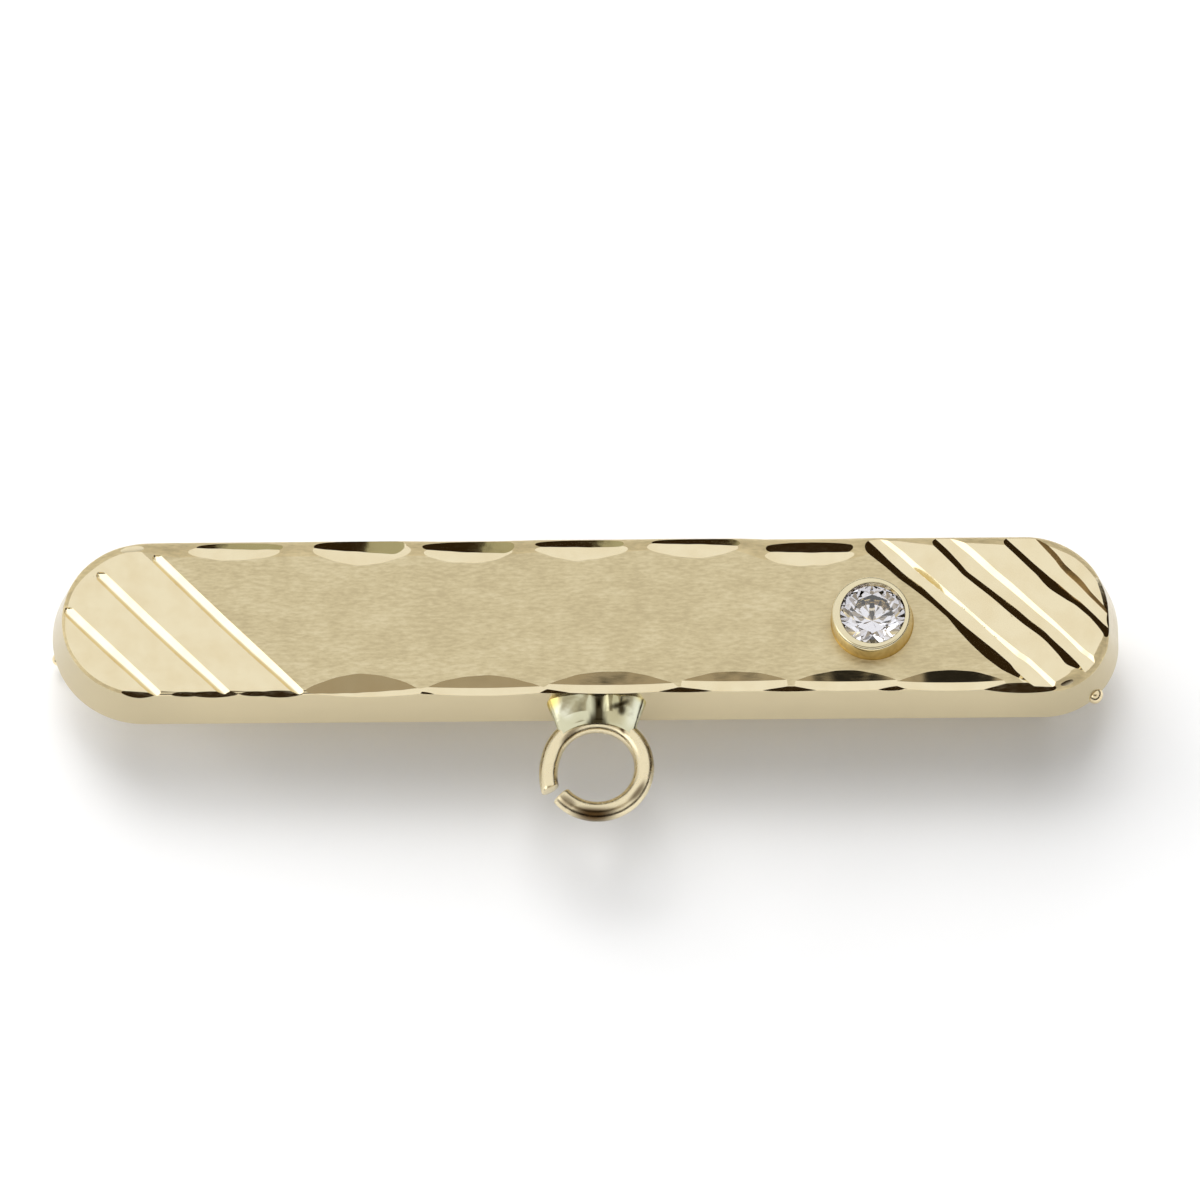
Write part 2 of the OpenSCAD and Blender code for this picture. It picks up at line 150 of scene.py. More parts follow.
# Scallops: side, middle along the bar, half length, width and tilt of the facet next to the satin,
# distance of the line between the facets from the bar's long axis, how far along the outer facet is set,
# its tilt, its hollow's radius as a share of the inner one's and, at the back, where its ends start to lift
SCALLOPS = [
    (1, -10.522, 1.933, 0.407, 15.1, 2.26, 0.198, 29.7, 1.02, 1.3, 1.2),
    (1, -6.666, 1.583, 0.466, 16.9, 2.14, 0.22, 29.3, 1.07, 1.65, 0.7),
    (1, -3.499, 1.468, 0.371, 9.1, 2.075, 0.372, 28.2, 0.95, 1.7, 0.65),
    (1, -0.108, 1.662, 0.452, 9, 2.223, 0.09, 30, 1.0, 1.45, 1.0),
    (1, 3.301, 1.745, 0.475, 11.8, 2.3, 0.26, 29.6, 1.33, 1.55, 1.1),
    (1, 6.684, 1.733, 0.471, 8, 1.994, 0.1, 24.7, 0.96, 1.25, 1.05),
    (-1, -6.66, 1.75, 0.535, 15.8, 2.369, 0.2, 38, 1.0),
    (-1, -3.05, 1.68, 0.363, 16.2, 2.274, 0.0, 30, 1.0),
    (-1, 0.74, 1.85, 0.389, 17, 2.204, 0.0, 10, 1.0),
    (-1, 4.44, 1.58, 0.279, 17, 2.127, 0.0, 1, 1.0),
    (-1, 7.78, 1.5, 0.319, 18.7, 2.159, 0.0, 2, 1.0),
    (-1, 10.9, 1.6, 0.35, 21, 2.206, 0.0, 5, 1.0),
]
# How fast their ends lift, and how far a facet and the straight part of a valley reach from the middle
END_LIFT = 0.5
FACET_REACH = 2.4
VALLEY_REACH = 1.9

# Rolled-off spots of the rim: place, half length, how far they are cut in, and their tilt. The cusps
# between the front scallops are painted dark, as a painted dark reflection.
LEFT_ROLLS = [
    (-13.35, -2.4, 0.5, 0.06, 54), (-11.1, -2.45, 0.72, 0.06, 54), (-9.1, -2.45, 0.66, 0.07, 54),
    (-11.9, -2.45, 0.45, 0.035, 54), (-9.8, -2.45, 0.5, 0.035, 54),
]
CUSPS = [
    (-4.6, -2.45, 0.4, 0.035, 48), (-0.9, -2.45, 0.65, 0.035, 48), (2.96, -2.45, 0.9, 0.035, 48),
    (6.1, -2.45, 0.85, 0.035, 48), (9.1, -2.45, 0.4, 0.035, 48),
]
END_ROLLS = [
    (13.1, -2.45, 1.3, 0.10, 54), (14.3, -2.0, 0.55, 0.12, 50), (15.0, -1.4, 0.9, 0.12, 27),
    (15.42, -0.35, 0.6, 0.13, 40), (15.62, 0.45, 0.85, 0.07, 40), (-13.5, 2.25, 0.6, 0.15, 20),
]

# Finishes of the bar, with the painted dark reflection, in the order of its materials
GOLD, SATIN, WALL, EDGE, PAINTED_DARK, SOFT_EDGE = range(6)
# Regions are numbered like their surfaces, apart from a groove's parts and the outer side of a valley
GROOVE_REGION, GROOVE_PARTS, OUTER_SIDE, RAMP_PART = 100, 10, 2, 7
VALLEY_REGION = 200

# Bezel and stone. The bar's face runs CUP_OVERLAP into the cup.
STONE_X, STONE_Y = 8.58, -0.28
STONE_R = 1.08
STONE_GAP = 0.03
BEZEL_R = 1.2
CUP_OVERLAP = 0.06
BEZEL_OPEN_R = 0.965
BEZEL_H = 0.72
GIRDLE_Z = 1.821
CULET_Z = 0.839

# Jump ring, solder and bead
RING_X, RING_Y, RING_Z = 0.32, -4.58, 0.75
RING_R = 1.405
WIRE_R = 0.3
RING_GAP = rad(13)
RING_GAP_MID = rad(214)
# Painted dark reflections of the ring: angle and half angle in degrees, radius and half width, and strength
RING_PAINTED_REFLECTIONS = [
    (266, 25, 1.60, 0.2, 1.0), (323, 15, 1.52, 0.09, 0.8), (132, 17, 1.23, 0.08, 0.75),
    (204, 7, 1.24, 0.1, 0.95), (234, 12, 1.5, 0.16, 0.7), (20, 30, 1.68, 0.08, 0.35),
]
SOLDER_ROOT_Y = -2.3
BEAD = (15.25, -2.12, 0.0)
BEAD_R = 0.25

FLOOR_Z = -2.1


# Heights of the face

def inward(x, y):
    """Distance in from the outline of the base."""
    r = np.where((x > 0) & (y < 0), SHARP_R, ROUND_R)
    qx = np.abs(x) - (BAR_L / 2 - r)
    qy = np.abs(y) - (BAR_W / 2 - r)
    return r - np.hypot(np.maximum(qx, 0), np.maximum(qy, 0)) - np.minimum(np.maximum(qx, qy), 0)


def eased(value, start, end):
    """0 up to start, 1 from end on, smooth between."""
    t = np.clip((value - start) / (end - start), 0, 1)
    return t * t * (3 - 2 * t)


def edge_shape(x, y):
    """Radius of the shoulder and angle of the wall.

    Both change along the back, and the radius at the right front corner too."""
    rows = np.array(BACK_EDGE)
    back = eased(y, 0.8, 1.8)
    corner = eased(x, 13.4, 14.4) * eased(-y, 0.5, 1.2)
    r = SHOULDER_R + back * (np.interp(x, rows[:, 0], rows[:, 1]) - SHOULDER_R)
    r = r + CORNER_SHOULDER * corner
    lean = WALL_LEAN + back * (np.interp(x, rows[:, 0], rows[:, 2]) - WALL_LEAN)
    return r, np.arctan(lean / BAR_H)


def arc_line(x, y, share):
    """Distance in from the outline to the line where that share of the shoulder's turn is made."""
    r, wall = edge_shape(x, y)
    end = (r + (BAR_H - r) * np.sin(wall)) / np.cos(wall)
    return end - r * np.cos(wall + (math.pi / 2 - wall) * share)


def blank_height(x, y):
    """Wall, rounded shoulder and level face."""
    d = inward(x, y)
    r, wall = edge_shape(x, y)
    start, end = arc_line(x, y, 0), arc_line(x, y, 1)
    arc = BAR_H - r + np.sqrt(np.maximum(r ** 2 - (end - d) ** 2, 0))
    return np.where(d < start, d / np.tan(wall), np.where(d < end, arc, BAR_H))


def groove_frame(g, x, y):
    """Distances across a groove and along it."""
    turn = math.pi / 2 - GROOVE_ANGLE + (0 if g[0] > 0 else math.pi)
    dx = x - g[0] * g[1]
    return dx * math.cos(turn) + y * math.sin(turn), -dx * math.sin(turn) + y * math.cos(turn)


def smooth(values):
    """Blurs values that are given at each step of ALONG."""
    half = len(BLUR) // 2
    return np.convolve(np.pad(values, half, "edge"), BLUR, "valid")


def courses(g):
    """The four lines of a groove as smooth functions of the distance along it."""
    rows = np.array(g[2])
    return [smooth(np.interp(ALONG, rows[:, 0], rows[:, k])) for k in range(1, 5)]


def groove_start(g, u, v, line):
    """Height of the rounded ramp that leads in where a groove starts."""
    middle, half = (line[0] + line[3]) / 2, (line[3] - line[0]) / 2
    return -(g[5] - g[0] * v - START_BOW * ((u - middle) / half) ** 2) * START_RAMP


def groove_height(g, run):
    """Height of a groove and the slope beyond it, the lines between its parts, and where its ramp is.

    The slope rises from the outer side and reaches the level face at run, where the next groove begins."""
    lines = courses(g)
    inner, floor, side, top = lines
    deep = smooth(np.maximum((floor - inner) * g[3], LEAST_DEPTH))
    step = smooth(np.maximum(deep - (top - side) * g[4], LEAST_STEP))

    def height(x, y):
        u, v = groove_frame(g, x, y)
        line = [np.interp(v, ALONG, each) for each in lines]
        a, b, c, d = line
        low = np.interp(v, ALONG, deep)
        # at the left the step fades out over the last 1.2 mm before the groove's start
        rise = np.interp(v, ALONG, step) * (eased(g[5] - g[0] * v, 0, 1.2) if g[0] < 0 else 1.0)
        z = np.where(u < b, -low * (u - a) / (b - a), -low)
        z = np.where(u > c, -low + (low - rise) * (u - c) / (d - c), z)
        z = np.maximum(z, groove_start(g, u, v, line))
        z = np.where(u > d, -rise * (run - u) / (run - d), z)
        return np.where((u > a - 0.5) & (u < run + 1e-6), BAR_H + z, FAR)

    def starting(x, y):
        """Above 0 where the ramp is the surface."""
        u, v = groove_frame(g, x, y)
        line = [np.interp(v, ALONG, each) for each in lines]
        ramp = BAR_H + groove_start(g, u, v, line)
        return np.where((u < line[3]) & (u > line[0] - 0.5), 1e-5 - (height(x, y) - ramp), -1.0)

    return height, [lambda x, y, line=line: groove_across(g, x, y, line) for line in lines[1:]], starting


def groove_across(g, x, y, line):
    """Distance across the groove beyond one of its lines."""
    u, v = groove_frame(g, x, y)
    return u - np.interp(v, ALONG, line)


def facet_height(side, x0, start, z0, tilt, r, ripples, ends):
    """A hollow cut that runs outward and down from start and lifts sooner beyond its ends."""
    def height(x, y):
        dx = x - x0
        s = side * y
        ripple = ripples * (0.0022 * np.sin(dx * 4.3 + 3 * x0) + 0.0014 * np.sin(dx * 9.1 + x0))
        z = z0 - math.tan(tilt) * (s - start) + ripple
        z = z + (r - np.sqrt(np.maximum(r * r - dx * dx, 0))) / math.cos(tilt)
        z = z + END_LIFT * np.maximum(np.maximum(dx - ends[1], -dx - ends[0]), 0) ** 2
        return np.where((np.abs(dx) < 0.95 * r) & (np.abs(dx) < FACET_REACH) & (s > 0), z, FAR)

    return height


def scallop_facets(s):
    """The facets' heights, and the valley between them.

    Facets that meet in a ridge have a height each. Those that meet in a valley share one."""
    side, x0, half, in_w, in_tilt, ridge, shift, out_tilt, flatter, *ends = s
    in_tilt, out_tilt = rad(in_tilt), rad(out_tilt)
    sag = in_w * math.sin(in_tilt)
    ridge_z = BAR_H - in_w * math.tan(in_tilt)
    r = (half * half + sag * sag) / (2 * sag)
    r_out = flatter * r * math.cos(in_tilt) / math.cos(out_tilt)
    inner = facet_height(side, x0, ridge - in_w, BAR_H, in_tilt, r, 1, (FAR, FAR))
    ripples = 1 if side < 0 else 0
    outer = facet_height(side, x0 + shift, ridge, ridge_z, out_tilt, r_out, ripples, ends or (FAR, FAR))
    if out_tilt > in_tilt:
        return [inner, outer], None

    def valley(x, y):
        """Distance outward from the valley, which bends outward at its ends."""
        return side * y - ridge - 3 * np.maximum(np.abs(x - x0) - VALLEY_REACH, 0)

    return [lambda x, y: np.where(side * y < ridge, inner(x, y), outer(x, y))], valley


def roll_height(x0, y0, half, deep, tilt):
    """A shallow facet on the rounded shoulder, widest at its middle."""
    t = rad(tilt)
    touch = ARC_END - SHOULDER_R * math.sin(t)
    edge = touch + (SHOULDER_R - SHOULDER_R * math.cos(t)) / math.tan(t)

    def height(x, y):
        away = np.hypot(x - x0, y - y0) / half
        reach = edge + deep * (1 - away ** 2)
        z = BAR_H - math.tan(t) * (reach - inward(x, y))
        return np.where(away < 1, z, FAR)

    return height


# Plan mesh, split along creases

class Plan:
    """Triangles in plan that are split exactly along curves, then raised to a height."""

    def __init__(self, xs, ys):
        gx, gy = np.meshgrid(xs, ys, indexing="ij")
        self.v = np.stack([gx.ravel(), gy.ravel()], 1)
        n = len(ys)
        i, j = np.meshgrid(np.arange(len(xs) - 1), np.arange(n - 1), indexing="ij")
        a = (i * n + j).ravel()
        quads = np.stack([a, a + n, a + n + 1, a + 1], 1)
        even = ((i + j) % 2 == 0).ravel()
        t1 = np.concatenate([quads[even][:, [0, 1, 2]], quads[~even][:, [0, 1, 3]]])
        t2 = np.concatenate([quads[even][:, [0, 2, 3]], quads[~even][:, [1, 2, 3]]])
        self.t = np.concatenate([t1, t2])

    def split(self, h):
        """Splits every triangle that the curve h(x, y) = 0 crosses."""
        val = h(self.v[:, 0], self.v[:, 1])
        at_corner = val[self.t]
        mixed = (at_corner.min(1) < 0) & (at_corner.max(1) > 0)
        if not mixed.any():
            return
        t = self.t[mixed]
        edges = np.sort(np.concatenate([t[:, [0, 1]], t[:, [1, 2]], t[:, [2, 0]]]), 1).astype(np.int64)
        size = len(self.v)
        edges = np.unique(edges[:, 0] * size + edges[:, 1])
        edges = np.stack([edges // size, edges % size], 1)
        cross = edges[val[edges[:, 0]] * val[edges[:, 1]] < 0]
        a, b = self.v[cross[:, 0]], self.v[cross[:, 1]]
        lo, hi = np.zeros(len(cross)), np.ones(len(cross))
        sign = np.sign(val[cross[:, 0]])
        for _ in range(18):
            mid = (lo + hi) / 2
            p = a + (b - a) * mid[:, None]
            same = np.sign(h(p[:, 0], p[:, 1])) == sign
            lo, hi = np.where(same, mid, lo), np.where(same, hi, mid)
        at = (lo + hi) / 2
        near = np.where(at < 0.006, cross[:, 0], np.where(at > 0.994, cross[:, 1], -1))
        zero = np.zeros(len(self.v), bool)
        zero[near[near >= 0]] = True
        zero |= val == 0
        val = np.where(zero, 0, val)
        keep = (val[cross[:, 0]] != 0) & (val[cross[:, 1]] != 0)
        cross, at, a, b = cross[keep], at[keep], a[keep], b[keep]
        new_id = np.arange(len(cross)) + len(self.v)
        n = len(self.v) + len(cross) + 1
        key = cross[:, 0].astype(np.int64) * n + cross[:, 1]
        order = np.argsort(key)
        key, ids = key[order], new_id[order]
        self.v = np.concatenate([self.v, a + (b - a) * at[:, None]])

        def crossing(p, q):
            """Number of the new point between p and q, or -1."""
            k = np.minimum(p, q).astype(np.int64) * n + np.maximum(p, q)
            i = np.minimum(np.searchsorted(key, k), max(len(key) - 1, 0))
            if not len(key):
                return np.full(len(k), -1)
            return np.where(key[i] == k, ids[i], -1)

        e = np.stack([crossing(t[:, k], t[:, (k + 1) % 3]) for k in range(3)], 1)
        count = (e >= 0).sum(1)
        out = [t[count == 0]]
        for k in range(3):
            p, q, r = t[:, k], t[:, (k + 1) % 3], t[:, (k + 2) % 3]
            one = (count == 1) & (e[:, k] >= 0)
            m = e[:, k]
            out.append(np.stack([p, m, r], 1)[one])
            out.append(np.stack([m, q, r], 1)[one])
            two = (count == 2) & (e[:, k] >= 0) & (e[:, (k + 2) % 3] >= 0)
            m2 = e[:, (k + 2) % 3]
            out.append(np.stack([p, m, m2], 1)[two])
            out.append(np.stack([m, q, r], 1)[two])
            out.append(np.stack([m, r, m2], 1)[two])
        self.t = np.concatenate([self.t[~mixed]] + out)

    def centres(self):
        """The middle of each triangle."""
        return self.v[self.t].mean(1)

    def keep(self, mask):
        """Keeps the triangles in the mask and their points."""
        self.t = self.t[mask]
        used, back = np.unique(self.t, return_inverse=True)
        self.v = self.v[used]
        self.t = back.reshape(-1, 3)


def spaced(stops):
    """Coordinates from [start, step, start, step, ..., end]."""
    out = []
    for a, step, b in zip(stops[0:-1:2], stops[1::2], stops[2::2]):
        out.extend(np.linspace(a, b, max(int(round((b - a) / step)), 1) + 1)[:-1])
    return np.array(out + [stops[-1]])


def bar_surface():
    """The plan, its heights, and each triangle's corner normals, region and finish; on a few triangles the
    finish is a painted dark reflection.
    """
    plan = Plan(spaced(PLAN_X), spaced(PLAN_Y))
    plan.v += PLAN_OFFSET
    plan.split(inward)
    c = plan.centres()
    plan.keep(inward(c[:, 0], c[:, 1]) > 0)
    for share in np.linspace(0, 1, SHOULDER_LINES):
        plan.split(lambda x, y, share=share: inward(x, y) - arc_line(x, y, share))

    def in_cup(x, y):
        return np.hypot(x - STONE_X, y - STONE_Y) - (BEZEL_R - CUP_OVERLAP)

    plan.split(in_cup)
    c = plan.centres()
    plan.keep(in_cup(c[:, 0], c[:, 1]) > 0)

    heights = [blank_height]
    lines = []
    for i, g in enumerate(GROOVES):
        following = GROOVES[i + 1] if i + 1 < len(GROOVES) and GROOVES[i + 1][0] == g[0] else None
        run = (following[1] - g[1]) * math.sin(GROOVE_ANGLE) if following else GROOVE_RUN
        height, crossings, starting = groove_height(g, run)
        lines.append((crossings, starting))
        heights.append(height)

        def by_groove(x, y, f, g=g):
            """The curve, near its groove only."""
            u, _ = groove_frame(g, x, y)
            return np.where((np.abs(u) < GROOVE_REACH) & (g[0] * x > ENDS_X), f(x, y), 1.0)

        for crossing in crossings:
            plan.split(lambda x, y, f=crossing: by_groove(x, y, f))
    valleys = {}
    for s in SCALLOPS:
        facets, valley = scallop_facets(s)
        if valley:
            valleys[len(heights)] = valley
            plan.split(valley)
        heights += facets
    first_cusp = len(heights) + len(LEFT_ROLLS)
    heights += [roll_height(*roll) for roll in LEFT_ROLLS + CUSPS + END_ROLLS]

    def lowest(x, y, upto):
        """Height of the lowest surface before upto."""
        z = heights[0](x, y)
        for f in heights[1:upto]:
            z = np.minimum(z, f(x, y))
        return z

    def over(i):
        """How far surface i stands over the surfaces before it."""
        def h(x, y):
            out = np.full(x.shape, FAR)
            z = heights[i](x, y)
            near = z < FAR - 1
            out[near] = z[near] - lowest(x[near], y[near], i)
            return out
        return h

    for i in range(1, len(heights)):
        plan.split(over(i))

    x, y = plan.centres().T
    lowest_one = np.stack([f(x, y) for f in heights]).argmin(0)
    region = lowest_one.copy()
    d = inward(x, y)
    wall = (region == 0) & (d < arc_line(x, y, 0))
    for i, g in enumerate(GROOVES):
        crossings, starting = lines[i]
        part = sum((crossing(x, y) > 0).astype(int) for crossing in crossings)
        part = np.where(starting(x, y) > 0, RAMP_PART, part)
        region = np.where(region == i + 1, GROOVE_REGION + GROOVE_PARTS * i + part, region)
    for k, valley in valleys.items():
        region = np.where((region == k) & (valley(x, y) > 0), VALLEY_REGION + k, region)

    # the level face is satin between the innermost grooves; the shoulder is soft at the back and ends
    level = (region == 0) & (d > arc_line(x, y, 1) - 1e-4)
    middle = np.ones(len(x), bool)
    for g in (GROOVES[0], GROOVES[3]):
        middle &= groove_frame(g, x, y)[0] < 0.3
    edge = (region == 0) & ~wall & ~level
    # painted dark reflections: the cusps and the outer side of one groove
    dark = (region >= first_cusp) & (region < first_cusp + len(CUSPS))
    dark |= region == GROOVE_REGION + GROOVE_PARTS * PAINTED_DARK_GROOVE + OUTER_SIDE
    soft = edge & ((y > 1.0) | (np.abs(x) > 13.2))
    finish_and_painted_dark = np.select([soft, level & middle, wall, edge, dark], [SOFT_EDGE, SATIN, WALL, EDGE, PAINTED_DARK], GOLD)

    z = lowest(plan.v[:, 0], plan.v[:, 1], len(heights))

    # normals at the corners, each measured a little inside its triangle so that creases stay crisp
    step = 2e-4
    corner = plan.v[plan.t]
    toward = corner + (corner.mean(1, keepdims=True) - corner) * 0.02
    slope = np.zeros(corner.shape)
    for k, f in enumerate(heights):
        m = lowest_one == k
        if not m.any():
            continue
        px, py = toward[m][..., 0], toward[m][..., 1]
        slope[m, :, 0] = (f(px + step, py) - f(px - step, py)) / (2 * step)
        slope[m, :, 1] = (f(px, py + step) - f(px, py - step)) / (2 * step)
    normal = np.concatenate([-slope, np.ones(slope.shape[:2] + (1,))], 2)
    normal /= np.linalg.norm(normal, axis=2, keepdims=True)
    return plan, z, normal, region, finish_and_painted_dark


def add_object(name, data):
    """Puts an object in the scene."""
    obj = bpy.data.objects.new(name, data)
    bpy.context.scene.collection.objects.link(obj)
    return obj


def add_bmesh(name, bm):
    """Makes an object of a bmesh."""
    mesh = bpy.data.meshes.new(name)
    bm.to_mesh(mesh)
    bm.free()
    return add_object(name, mesh)


def make_object(name, verts, faces):
    """A smooth-shaded object from points in millimetres."""
    mesh = bpy.data.meshes.new(name)
    mesh.from_pydata([tuple(v) for v in np.array(verts) * MM], [], faces)
    mesh.update()
    for p in mesh.polygons:
        p.use_smooth = True
    return add_object(name, mesh)


def build_bar():
    """The bar, with its flat back closed, and the finish of each face; a few faces carry a painted dark
    reflection.
    """
    plan, z, normal, region, finish_and_painted_dark = bar_surface()
    v = np.column_stack([plan.v, z])
    t = plan.t
    # anticlockwise seen from above
    a, b, c = v[t[:, 0], :2], v[t[:, 1], :2], v[t[:, 2], :2]
    flip = (b[:, 0] - a[:, 0]) * (c[:, 1] - a[:, 1]) - (b[:, 1] - a[:, 1]) * (c[:, 0] - a[:, 0]) < 0
    t = np.where(flip[:, None], t[:, ::-1], t)
    normal = np.where(flip[:, None, None], normal[:, ::-1], normal)

    # the edges with one triangle run round the outline and the cup; the longer loop closes the back
    e = np.concatenate([t[:, [0, 1]], t[:, [1, 2]], t[:, [2, 0]]])
    _, first, count = np.unique(np.sort(e, 1), axis=0, return_index=True, return_counts=True)
    follow = {int(p): int(q) for p, q in e[first[count == 1]]}
    loops = []
    left = set(follow)
    while left:
        start = next(iter(left))
        loop, at = [], start
        while at in left:
            left.discard(at)
            loop.append(at)
            at = follow[at]
        loops.append(loop)
    outline = sorted(loops, key=len)[-1]
    v[outline, 2] = 0.0
    faces = [tuple(int(i) for i in row) for row in t] + [tuple(outline[::-1])]
    obj = make_object("bar_metal", v, faces)

    # edges are sharp where two regions meet
    mesh = obj.data
    corner_normals = np.concatenate([normal.reshape(-1, 3), np.tile([0, 0, -1.0], (len(outline), 1))])
    owner = np.concatenate([region, [-1]])
    loops_edge = np.empty(len(mesh.loops), int)
    mesh.loops.foreach_get("edge_index", loops_edge)
    total = np.empty(len(mesh.polygons), int)
    mesh.polygons.foreach_get("loop_total", total)
    poly_of_loop = np.repeat(np.arange(len(total)), total)
    lo = np.full(len(mesh.edges), 10 ** 6)
    hi = np.full(len(mesh.edges), -10 ** 6)
    np.minimum.at(lo, loops_edge, owner[poly_of_loop])
    np.maximum.at(hi, loops_edge, owner[poly_of_loop])
    attribute = mesh.attributes.new("sharp_edge", "BOOLEAN", "EDGE")
    attribute.data.foreach_set("value", lo != hi)
    mesh.normals_split_custom_set([tuple(n) for n in corner_normals])
    return obj, np.concatenate([finish_and_painted_dark, [GOLD]])


def lathe(name, profile):
    """Turns a closed profile of (radius, height) points round the Z axis."""
    n, turns = len(profile), 128
    verts, faces = [], []
    for i in range(turns):
        a = 2 * math.pi * i / turns
        verts += [(r * math.cos(a), r * math.sin(a), z) for r, z in profile]
    for i in range(turns):
        for j in range(n):
            k, m = (i + 1) % turns, (j + 1) % n
            faces.append((i * n + j, k * n + j, k * n + m, i * n + m))
    return make_object(name, verts, faces)


def finish_mesh(obj, angle):
    """Joins doubled points and shades smooth, apart from edges sharper than angle."""
    bm = bmesh.new()
    bm.from_mesh(obj.data)
    bmesh.ops.remove_doubles(bm, verts=bm.verts, dist=1e-7)
    bmesh.ops.recalc_face_normals(bm, faces=bm.faces)
    for f in bm.faces:
        f.smooth = True
    for e in bm.edges:
        if len(e.link_faces) == 2:
            e.smooth = e.calc_face_angle(0) < rad(angle)
    bm.to_mesh(obj.data)
    bm.free()
    return obj


def arc_points(cx, cz, r, a0, a1, n):
    """Points of an arc from angle a0 to a1, in degrees, in n parts."""
    return [(cx + r * math.cos(rad(a0 + (a1 - a0) * i / n)), cz + r * math.sin(rad(a0 + (a1 - a0) * i / n)))
            for i in range(n + 1)]


def mixed(a, b, share):
    """Colour a turning to colour b as share goes from 0 to 1."""
    share = np.clip(share, 0, 1)[:, None]
    return np.array(a) * (1 - share) + np.array(b) * share


def oval(x, y, cx, cy, half_x, half_y, turn=0.0):
    """1 in a soft oval, 0 round it."""
    c, s = math.cos(rad(turn)), math.sin(rad(turn))
    u, v = (x - cx) * c + (y - cy) * s, (y - cy) * c - (x - cx) * s
    return np.exp(-((u / half_x) ** 2 + (v / half_y) ** 2) ** 2)


def set_tone(obj, colour_at):
    """Gives every vertex its base colour."""
    mesh = obj.data
    co = np.empty(len(mesh.vertices) * 3)
    mesh.vertices.foreach_get("co", co)
    colour = colour_at(*(co.reshape(-1, 3).T / MM))
    attribute = mesh.color_attributes.new("tone", "FLOAT_COLOR", "POINT")
    attribute.data.foreach_set("color", np.column_stack([colour, np.ones(len(colour))]).ravel())


def build_bezel():
    """The cup that holds the stone, with a soft rim and a small fillet at its foot."""
    top = BAR_H + BEZEL_H
    seat = STONE_R + STONE_GAP
    profile = [(1e-4, CULET_Z - 0.09), (BEZEL_R, BAR_H - 0.2), (BEZEL_R + 0.055, BAR_H - 0.02)]
    profile += [(BEZEL_R + 0.02, BAR_H + 0.04), (BEZEL_R + 0.005, BAR_H + 0.12)]
    profile += [(BEZEL_R - 0.005, top - 0.2)]
    profile += arc_points(BEZEL_R - 0.12, top - 0.1, 0.1, 20, 95, 8)
    profile += arc_points(BEZEL_OPEN_R + 0.035, top - 0.035, 0.035, 95, 190, 6)
    profile += [(BEZEL_OPEN_R, GIRDLE_Z + 0.12), (seat, GIRDLE_Z + STONE_GAP), (seat, GIRDLE_Z - 0.08)]
    profile += [(1e-4, CULET_Z - 0.05)]
    obj = lathe("bezel_cup", profile)
    # the cup's outside leans a little towards the left end
    for v in obj.data.vertices:
        if math.hypot(v.co.x, v.co.y) > (BEZEL_OPEN_R + 0.06) * MM:
            v.co.x -= 0.07 * max(0.0, v.co.z - BAR_H * MM)
    obj.data.transform(Matrix.Translation((STONE_X * MM, STONE_Y * MM, 0)))
    finish_mesh(obj, 25)

    def tone(x, y, z):
        r = np.hypot(x - STONE_X, y - STONE_Y)
        angle = np.degrees(np.arctan2(y - STONE_Y, x - STONE_X))
        rise = (z - BAR_H) / BEZEL_H
        # painted shade and reflection: the wall turns darker and deeper yellow towards its foot, where gold
        # faces gold; the rim keeps the paler gold
        colour = mixed((0.62, 0.43, 0.14), (0.80, 0.65, 0.33), rise / 0.6)
        colour = mixed(colour, (0.82, 0.73, 0.49), (rise - 0.74) / 0.1)
        # painted shadow: dark crescents on the inner edge of the opening, at the back left and at the right
        dark = np.exp(-((angle - 130) / 38) ** 4) + np.exp(-((angle - 14) / 24) ** 4)
        return mixed(colour, (0.11, 0.07, 0.035), dark * (r < BEZEL_OPEN_R + 0.012))

    set_tone(obj, tone)
    return obj


def sweep(name, centre, across, up, radius):
    """A round section swept along points and closed at both ends."""
    n, sides = len(centre), 48
    verts, faces = [], []
    for i in range(n):
        for k in range(sides):
            a = 2 * math.pi * k / sides
            verts.append(centre[i] + radius[i] * (math.cos(a) * across[i] + math.sin(a) * up[i]))
    for i in range(n - 1):
        for k in range(sides):
            m = (k + 1) % sides
            faces.append((i * sides + k, i * sides + m, (i + 1) * sides + m, (i + 1) * sides + k))
    faces.append(tuple(range(sides)))
    faces.append(tuple((n - 1) * sides + k for k in reversed(range(sides))))
    return make_object(name, verts, faces)


